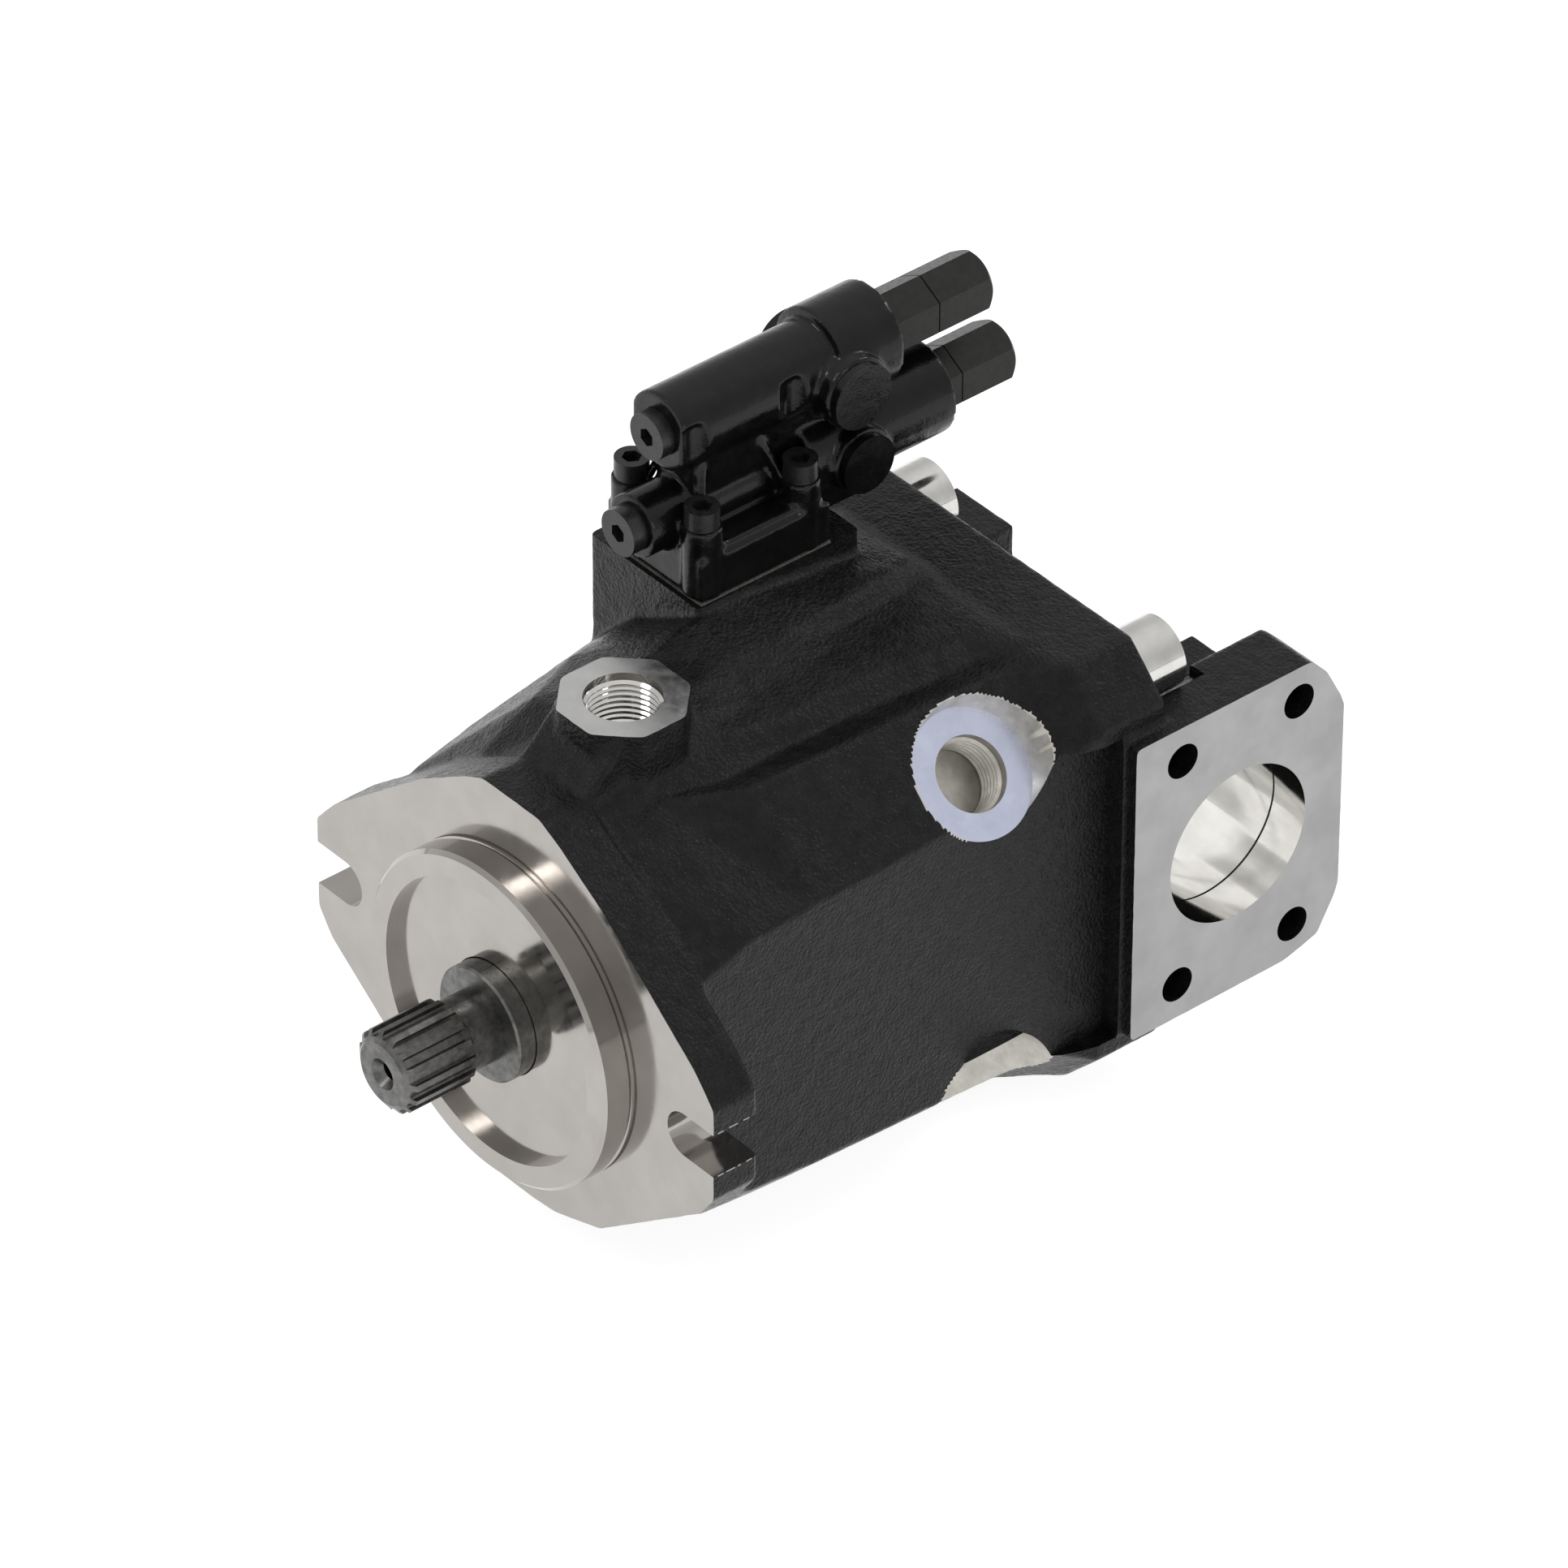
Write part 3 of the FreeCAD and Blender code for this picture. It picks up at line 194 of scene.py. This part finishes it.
def from_lists(name, verts, faces):
    mesh = bpy.data.meshes.new(name)
    mesh.from_pydata([Vector(v) * MM for v in verts], [], faces)
    shape = bmesh.new()
    shape.from_mesh(mesh)
    bmesh.ops.recalc_face_normals(shape, faces=shape.faces)
    shape.to_mesh(mesh)
    shape.free()
    return add_object(name, mesh)


def frame_along(axis):
    """Three unit vectors: along the axis, and two square to it."""
    along = Vector(axis).normalized()
    helper = Vector((0, 0, 1)) if abs(along.z) < 0.9 else Vector((0, 1, 0))
    first = helper.cross(along).normalized()
    return along, first, along.cross(first)


def lathe(name, profile, origin, axis, closed=False, count=128):
    """A turned solid from (along, radius) corners; closed makes a ring from a closed outline."""
    along, first, second = frame_along(axis)
    origin = Vector(origin)
    verts = []
    for step in range(count):
        angle = 2 * math.pi * step / count
        out = first * math.cos(angle) + second * math.sin(angle)
        verts += [origin + along * a + out * r for a, r in profile]
    size = len(profile)
    rows = size if closed else size - 1
    faces = []
    for step in range(count):
        here, there = step * size, (step + 1) % count * size
        for k in range(rows):
            nxt = (k + 1) % size
            faces.append((here + k, here + nxt, there + nxt, there + k))
    if not closed:
        faces.append([step * size for step in range(count)])
        faces.append([step * size + size - 1 for step in range(count)])
    return from_lists(name, verts, faces)


def rod(name, radius, start, end, origin, axis, count=128):
    return lathe(name, [(start, radius), (end, radius)], origin, axis, count=count)


def prism(name, points, low, high, plane="XZ"):
    """A straight prism: points in the plane, from low to high across it."""
    if plane == "XZ":
        make = lambda u, v, w: (u, w, v)
    elif plane == "YZ":
        make = lambda u, v, w: (w, u, v)
    else:
        make = lambda u, v, w: (u, v, w)
    count = len(points)
    verts = [make(u, v, w) for w in (low, high) for u, v in points]
    faces = [list(range(count)), list(range(count, 2 * count))]
    faces += [(k, (k + 1) % count, count + (k + 1) % count, count + k) for k in range(count)]
    return from_lists(name, verts, faces)


def block(name, low, high):
    points = [(low[0], low[2]), (high[0], low[2]), (high[0], high[2]), (low[0], high[2])]
    return prism(name, points, low[1], high[1])


def bake(item):
    """Applies the modifiers by taking the evaluated mesh."""
    graph = bpy.context.evaluated_depsgraph_get()
    mesh = bpy.data.meshes.new_from_object(item.evaluated_get(graph))
    item.modifiers.clear()
    item.data = mesh
    return item


def join(name, items):
    """One mesh out of several closed shells."""
    shape = bmesh.new()
    for item in items:
        shape.from_mesh(item.data)
        bpy.data.objects.remove(item)
    mesh = bpy.data.meshes.new(name)
    shape.to_mesh(mesh)
    shape.free()
    return add_object(name, mesh)


def copy_of(node):
    return add_object(f"{node}_copy", frame["nodes"][node].data.copy())


def cast_skin(name, items, voxel, smooth, relief):
    """Melts closed shells into one filleted casting with a slightly uneven skin."""
    item = join(name, items)
    mod = item.modifiers.new("Remesh", "REMESH")
    mod.mode, mod.voxel_size = "VOXEL", voxel * MM
    mod = item.modifiers.new("Smooth", "SMOOTH")
    mod.factor, mod.iterations = 0.5, smooth
    texture = bpy.data.textures.new(f"{name}_relief", "CLOUDS")
    texture.noise_scale = 0.004
    mod = item.modifiers.new("Relief", "DISPLACE")
    mod.texture, mod.strength, mod.mid_level = texture, relief * MM, 0.5
    mod.texture_coords = "LOCAL"
    return bake(item)


def combine(item, tool, operation):
    """Applies a boolean to the piece and removes the tool."""
    mod = item.modifiers.new("Combine", "BOOLEAN")
    mod.object, mod.operation, mod.solver = tool, operation, "MANIFOLD"
    before = len(item.data.polygons)
    bake(item)
    if not item.data.polygons:
        raise RuntimeError(f"{item.name}: {operation} with {tool.name} left nothing of {before} faces")
    bpy.data.objects.remove(tool)


def cut(item, cutter):
    combine(item, cutter, "DIFFERENCE")


def weld(item, addition):
    combine(item, addition, "UNION")


def paint(item, base, rules):
    """Gives each face the material of the first rule whose test its centre (mm) and normal pass."""
    item.data.materials.clear()
    for mat in [base] + [mat for mat, _ in rules]:
        item.data.materials.append(mat)
    for face in item.data.polygons:
        centre, normal = face.center / MM, face.normal
        matches = (k for k, (_, test) in enumerate(rules, start=1) if test(centre, normal))
        face.material_index = next(matches, 0)
        # machined planes are shaded flat, so the corners of a long face don't tint it
        diagonals = (abs(normal.x + normal.z) * ROOT_HALF, abs(normal.x - normal.z) * ROOT_HALF)
        on_plane = max(abs(normal.x), abs(normal.y), abs(normal.z), *diagonals) > 0.99995
        face.use_smooth = not (face.material_index and on_plane)
    item.data.set_sharp_from_angle(angle=math.radians(38))


def finish_piece(item, material, body="housing", replaced=()):
    if material:
        item.data.materials.clear()
        item.data.materials.append(material)
        for face in item.data.polygons:
            face.use_smooth = True
        item.data.set_sharp_from_angle(angle=math.radians(32))
    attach(item, body)
    if replaced:
        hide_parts(*replaced)
    return item


def radius_from(point, origin, axis):
    """Distance of a point from a line, and how far along the line it is."""
    away = point - Vector(origin)
    along = away.dot(Vector(axis))
    return (away - Vector(axis) * along).length, along


def loft(name, sections):
    """A closed skin over cross-sections of (y, corners) that all have the same number of corners."""
    count = len(sections[0][1])
    verts = [(u, y, v) for y, points in sections for u, v in points]
    faces = [list(range(count)), list(range(len(verts) - count, len(verts)))]
    for row in range(len(sections) - 1):
        for k in range(count):
            here, there, nxt = row * count, (row + 1) * count, (k + 1) % count
            faces.append((here + k, here + nxt, there + nxt, there + k))
    return from_lists(name, verts, faces)


# ------------------------------------------------------------------ pump housing
# Cross-sections of the casting, front to back: the distance along Y, then the corners of the upper
# right, the lower right and the left side, each from top to bottom.
SECTIONS = [
    (14.6, [(8, 69), (12, 68.5), (16, 67), (20, 64), (25, 61), (33, 57), (61, 37)],
     [(61, -34), (40, -51), (12, -60)],
     [(-14, 68), (-35, 56), (-61, 39), (-61, -34), (-35, -51), (-12, -60)]),
    (34, [(8, 76), (12, 75.5), (15, 73), (18, 70), (20, 67), (22, 66.5), (61, 43)],
     [(61, -44), (38, -67), (12, -72)],
     [(-10, 77), (-33, 70), (-61, 44), (-61, -44), (-38, -67), (-12, -72)]),
    (56, [(4, 79), (10, 77), (14, 74), (20, 70.5), (26, 66.5), (34, 67.5), (61, 44)],
     [(61, -46), (36, -71), (12, -75)],
     [(-14, 81), (-42, 69), (-62, 47), (-62, -46), (-36, -71), (-12, -75)]),
    (76, [(-3, 80), (4, 77), (10, 74.5), (20, 72), (25, 66.5), (36, 69), (61, 44)],
     [(61, -47), (34, -74), (12, -76)],
     [(-17, 84), (-45, 68), (-64, 49), (-64, -47), (-34, -74), (-12, -76)]),
    (98, [(-2, 78.5), (4, 76), (8, 74.5), (20, 72), (26, 67), (37, 69), (61, 45)],
     [(61, -48), (34, -75), (12, -76)],
     [(-19, 83), (-47, 68), (-65, 50), (-65, -48), (-34, -75), (-12, -76)]),
    (120, [(-4, 78), (0, 74), (6, 73), (22, 72), (28, 67.5), (38, 69), (61, 46)],
     [(61, -50), (34, -76), (12, -76)],
     [(-22, 80), (-48, 68), (-65, 52), (-65, -50), (-34, -76), (-12, -76)]),
    (140, [(-7, 77.5), (-2, 73.5), (4, 73), (24, 72.5), (30, 69), (40, 69.5), (61.5, 48)],
     [(61.5, -50), (38, -73), (14, -74)],
     [(-30, 77), (-49, 69), (-65.5, 54), (-65.5, -52), (-40, -74), (-14, -74)]),
    (150, [(-10, 76), (-6, 73.5), (0, 72.5), (27, 72.5), (36, 71.5), (48, 71), (65, 54)],
     [(65, -54), (48, -71), (16, -72.5)],
     [(-40, 74), (-50, 71), (-66, 56), (-66, -55), (-48, -71), (-16, -72.5)]),
]
REAR = ([(-10, 71.5), (-4, 71.5), (2, 71.5), (26, 71.5), (38, 71.5), (52, 71.5), (66.5, 57)],
        [(66.5, -57), (52, -71.5), (16, -71.5)],
        [(-44, 71.5), (-52, 71.5), (-66.5, 57), (-66.5, -57), (-52, -71.5), (-16, -71.5)])
WALL_X, HOUSING_END, FLANGE_BACK, PORT_R = 61.0, 161.6, 15.6, 11.1
CHAMBER_R, CHAMBER_START, FRONT_BORE_R, ACTUATOR_R = 55, 34, 31, 8.5
ACTUATOR_X, ACTUATOR_Z = 22, 58.5
SLOT_X, SLOT_HALF = 73.0, 7.15
DRAIN_FLAT, DRAIN_DEEP, SIDE_DEEP = 17.7, 19, 14
SEAT_ROOT, SEAT_PROUD = 58, 0.08
ON_FACE = 0.02
DRAIN = (0, 39.5, 86.8)
SIDE_Y, SIDE_FACE, SIDE_FLAT = 121.3, 70.5, 19.0
# Spread of the spot-face's side wall, in mm of radius per mm of height.
FLARE = 0.33
SIDES = {"upper": (ROOT_HALF, 0, ROOT_HALF), "lower": (ROOT_HALF, 0, -ROOT_HALF)}
right_half = [(12, 71.5), (20.8, 67.1), (38.9, 55.7), (77.5, 24.5), (85.2, 15.5), (85.2, -15.0),
              (79.8, -22.8), (36.8, -54.8), (17.5, -60.9), (8, -61.7)]
flange_outline = right_half + [(-x, z) for x, z in reversed(right_half)]
corner = DRAIN_FLAT / math.cos(math.pi / 8)
turns = [math.radians(22.5 + 45 * k) for k in range(8)]
octagon = [(corner * math.cos(turn_), DRAIN[1] + corner * math.sin(turn_)) for turn_ in turns]

stations = [(y, *sides) for y, *sides in SECTIONS] + [(155, *REAR), (168, *REAR)]
housing = cast_skin("housing_casting", [
    loft("body_stock", [(y, upper + lower + list(reversed(left))) for y, upper, lower, left in stations]),
    prism("flange_stock", flange_outline, -5, FLANGE_BACK),
    prism("drain_stock", octagon, 55, 92, "XY"),
    loft("drain_ramp", [(10, [(-14, 66), (14, 66), (14, 55), (-14, 55)]),
                        (27, [(-14, 84), (14, 84), (14, 55), (-14, 55)])]),
    block("pad_stock", (-65.7, 82, 40), (-19.3, 140, 90)),
], 1.0, 9, 0.30)
cut(housing, block("wall_trim", (WALL_X, 80, -52), (WALL_X + 20, 170, 52)))
cut(housing, block("front_cut", (-120, -40, -120), (120, 0, 120)))
cut(housing, block("rear_cut", (-120, HOUSING_END, -120), (120, 200, 120)))
cut(housing, block("drain_face_cut", (-25, 10, DRAIN[2]), (25, 66, 130)))
cut(housing, block("pad_face_cut", (-90, 70, 85), (-10, 150, 130)))
cut(housing, rod("front_bore", FRONT_BORE_R, -5, CHAMBER_START + 1, (0, 0, 0), (0, 1, 0)))
cut(housing, rod("chamber", CHAMBER_R, CHAMBER_START, 170, (0, 0, 0), (0, 1, 0)))
cut(housing, rod("stroke_bore", ACTUATOR_R, 100, 170, (-ACTUATOR_X, 0, ACTUATOR_Z), (0, 1, 0)))
cut(housing, rod("bias_bore", ACTUATOR_R, 90, 170, (ACTUATOR_X, 0, -ACTUATOR_Z), (0, 1, 0)))
cut(housing, rod("drain_bore", PORT_R, -DRAIN_DEEP, 10, DRAIN, (0, 0, 1)))
for name, axis in SIDES.items():
    origin = (0, SIDE_Y, 0)
    cut(housing, lathe(f"{name}_spot", [(SIDE_FACE, SIDE_FLAT), (SIDE_FACE + 20, SIDE_FLAT + FLARE * 20)],
                       origin, axis))
    weld(housing, rod(f"{name}_seat", SIDE_FLAT + 0.1, SEAT_ROOT, SIDE_FACE + SEAT_PROUD, origin, axis,
                      count=192))
    cut(housing, rod(f"{name}_bore", PORT_R, SIDE_FACE - SIDE_DEEP, SIDE_FACE + 20, origin, axis))
for sign in (1, -1):
    cut(housing, rod("slot_end", SLOT_HALF, -1, 26, (SLOT_X * sign, 0, 0), (0, 1, 0)))
    low, high = sorted((SLOT_X * sign, 95.0 * sign))
    cut(housing, block("slot_mouth", (low, -1, -SLOT_HALF), (high, 26, SLOT_HALF)))


def on_seat(point, normal):
    for axis in SIDES.values():
        away, along = radius_from(point, (0, SIDE_Y, 0), axis)
        if abs(along - SIDE_FACE - SEAT_PROUD) < ON_FACE and abs(normal.dot(Vector(axis))) > 0.999:
            return True
    return False


def on_flare(point, normal):
    for axis in SIDES.values():
        away, along = radius_from(point, (0, SIDE_Y, 0), axis)
        if along > SIDE_FACE and abs(away - SIDE_FLAT - (along - SIDE_FACE) * FLARE) < 0.25:
            return True
        if away < PORT_R + 0.2 and SIDE_FACE - SIDE_DEEP - 0.5 < along < SIDE_FACE:
            return True
    return False


def on_drain_face(point, normal):
    return abs(point.z - DRAIN[2]) < ON_FACE and point.y < 66


def on_machined(point, normal):
    if abs(point.y) < ON_FACE or abs(point.y - HOUSING_END) < ON_FACE:
        return True
    if radius_from(point, DRAIN, (0, 0, 1))[0] < PORT_R + 0.2 and point.z > 66:
        return True
    return abs(point.x) > 64 and point.y < 16 and abs(point.z) < 7.3 and abs(normal.y) < 0.3


paint(housing, CAST, [(SEAT, on_seat), (BARE, on_flare), (SPOT, on_drain_face), (MACHINED, on_machined)])
finish_piece(housing, None, replaced=("pump_housing",))

# The pilot, with its chamfer and the shallow groove at its foot.
pilot = [(-9.7, 43.2), (-9.7, 49.6), (-8.5, 50.8), (-1.8, 50.8), (-1.5, 50.2), (-0.4, 50.2), (-0.1, 50.8),
         (0.6, 50.8), (0.6, 43.2)]
finish_piece(lathe("pilot_ring", pilot, (0, 0, 0), (0, 1, 0), closed=True, count=256), MACHINED)


def thread(name, origin, axis, start, end, mat):
    """Ring-shaped thread turns inside a port."""
    pitch, depth = 1.814, 0.95
    inside = []
    along = start
    while along + pitch < end:
        inside += [(along, PORT_R - 0.05), (along + pitch * 0.42, PORT_R - depth),
                   (along + pitch * 0.58, PORT_R - depth)]
        along += pitch
    profile = [(start, PORT_R + 0.15)] + inside + [(along, PORT_R - 0.05), (along, PORT_R + 0.15)]
    return finish_piece(lathe(name, profile, origin, axis, closed=True), mat)


thread("top_drain_thread", DRAIN, (0, 0, 1), -18.8, -1.2, CHROME)
for name, axis in SIDES.items():
    thread(f"{name}_side_thread", (0, SIDE_Y, 0), axis, SIDE_FACE - 13.8, SIDE_FACE - 1.2, BARE)

# ------------------------------------------------------------------ end cover
PORT_Y, SUCTION_X, PRESSURE_X = 200.7, 72.0, -70.0
suction_outline = [(162.2, 50.5), (162.2, -50.5), (219.2, -50.5), (231.7, -47), (237.7, -36.5), (239.2, -32),
                   (239.2, 30), (237.7, 34), (232.2, 44.5), (226.2, 50.5)]
PLATE_REAR = 177.6
SUCTION_R, PRESSURE_R, BEARING_R = 25.0, 12.5, 26.0
BOLT_X, BOLT_Z = 48, 57.5
plate_outline = [(52, 71.5), (66.5, 57), (66.5, -57), (52, -71.5), (-52, -71.5), (-66.5, -57), (-66.5, 57),
                 (-52, 71.5)]
cover = cast_skin("cover_casting", [
    prism("plate_stock", plate_outline, 156, PLATE_REAR),
    lathe("hub_stock", [(158, 44), (190, 44), (205, 36), (214, 26), (226, 12)], (0, 0, 0), (0, 1, 0)),
    prism("suction_stock", suction_outline, 51, 77, "YZ"),
    block("neck_stock", (20, 168, -29), (54, 229, 29)),
    block("pressure_stock", (-75, 180.7, -34), (-46, 220.7, 34)),
    block("pressure_neck", (-48, 180.7, -22), (-15, 220.7, 22)),
], 1.0, 6, 0.25)
cut(cover, block("suction_cut", (SUCTION_X, 100, -90), (120, 280, 90)))
cut(cover, block("pressure_cut", (-120, 100, -90), (PRESSURE_X, 280, 90)))
cut(cover, block("seam_cut", (-120, 100, -120), (120, HOUSING_END, 120)))
cut(cover, rod("suction_bore", SUCTION_R, 27, 90, (0, PORT_Y, 0), (1, 0, 0), count=192))
cut(cover, rod("bore_groove", SUCTION_R + 0.6, 58.6, 59.3, (0, PORT_Y, 0), (1, 0, 0), count=192))
cut(cover, rod("pressure_bore", PRESSURE_R, 25, 90, (0, PORT_Y, 0), (-1, 0, 0)))
cut(cover, rod("bearing_bore", BEARING_R, 150, 179, (0, 0, 0), (0, 1, 0)))
for i in (1, -1):
    for j in (1, -1):
        cut(cover, rod("flange_hole", 5.5, 53, 80, (0, PORT_Y + 21.45 * i, 38.9 * j), (1, 0, 0), count=64))
        cut(cover, rod("pressure_hole", 4.6, 52, 80, (0, PORT_Y + 13.1 * i, 26.2 * j), (-1, 0, 0), count=64))
        cut(cover, rod("bolt_hole", 7.5, 150, 182, (BOLT_X * i, 0, BOLT_Z * j), (0, 1, 0), count=64))
        cut(cover, rod("head_room", 11.6, PLATE_REAR, 200, (BOLT_X * i, 0, BOLT_Z * j), (0, 1, 0), count=96))


def in_bore(point, normal):
    away, _ = radius_from(point, (0, PORT_Y, 0), (1, 0, 0))
    return away < 25.7 and point.x > 27.5 and abs(normal.x) < 0.5


def on_bore_end(point, normal):
    return radius_from(point, (0, PORT_Y, 0), (1, 0, 0))[0] < 25.2 and 26.5 < point.x <= 27.5


def on_port_face(point, normal):
    return abs(point.x - SUCTION_X) < ON_FACE or abs(point.x - PRESSURE_X) < ON_FACE


paint(cover, CAST, [(BORED, in_bore), (BORED, on_bore_end), (MILLED, on_port_face)])
finish_piece(cover, None, replaced=("end_cover",))

# ------------------------------------------------------------------ control valve
valve_shells = [
    copy_of("valve_body"),
    block("parting_rib", (-57.4, 84.4, 99.9), (-21.0, 128, 101.3)),
]
for start, end in (((-26.5, 89, 101), (-34, 96, 127)), ((-53.5, 89, 101), (-45, 96, 127)),
                   ((-27, 122, 101), (-34, 112, 127)), ((-27, 92, 100), (-33, 84, 104))):
    bar = Vector(end) - Vector(start)
    valve_shells.append(rod("web", 1.3, 0, bar.length, start, bar.normalized(), count=16))
valve = cast_skin("valve_casting", valve_shells, 0.7, 4, 0.10)
paint(valve, GLOSS, [])
finish_piece(valve, None, replaced=("valve_body",))

# ------------------------------------------------------------------ floor, light
low = min(v.z for v in (Vector(c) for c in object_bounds()))
floor_mesh = bpy.data.meshes.new("floor")
floor_mesh.from_pydata([(x * 9, y * 9, low - 0.0005) for x, y in ((-1, -1), (1, -1), (1, 1), (-1, 1))], [],
                       [(0, 1, 2, 3)])
floor = add_object("floor", floor_mesh)
mat, tree, shader = new_material("pale_floor")
shader.inputs["Base Color"].default_value = (0.30, 0.30, 0.30, 1)
shader.inputs["Roughness"].default_value = 0.9
shader.inputs["Emission Color"].default_value = (1, 1, 1, 1)
shader.inputs["Emission Strength"].default_value = 0.90
floor_mesh.materials.append(mat)
floor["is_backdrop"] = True


def area_light(name, place_, size, power, colour=(1, 1, 1)):
    data = bpy.data.lights.new(name, "AREA")
    data.shape, data.size, data.energy, data.color = "SQUARE", size, power, colour
    item = bpy.data.objects.new(name, data)
    bpy.context.collection.objects.link(item)
    item.location = place_
    item.rotation_euler = (Vector((0, 0.1, 0)) - Vector(place_)).to_track_quat("-Z", "Y").to_euler()


area_light("key", (-0.9, -1.6, 2.1), 0.7, 10)
area_light("top", (0.3, 2.2, 1.7), 0.5, 8, (0.90, 0.93, 1.0))
area_light("side", (2.3, 0.4, 0.9), 0.6, 4)

world = bpy.data.worlds.new("studio")
bpy.context.scene.world = world
world.use_nodes = True
tree = world.node_tree
coord = tree.nodes.new("ShaderNodeTexCoord")
split = tree.nodes.new("ShaderNodeSeparateXYZ")
sky = tree.nodes.new("ShaderNodeValToRGB")
tree.links.new(coord.outputs["Generated"], split.inputs["Vector"])
tree.links.new(split.outputs["Z"], sky.inputs["Fac"])
for position, level in ((0.0, 0.85), (0.20, 0.70), (0.45, 0.66), (0.62, 0.72), (1.0, 0.55)):
    element = sky.color_ramp.elements.new(position)
    element.color = (level, level, level, 1)
tree.links.new(sky.outputs["Color"], tree.nodes["Background"].inputs["Color"])
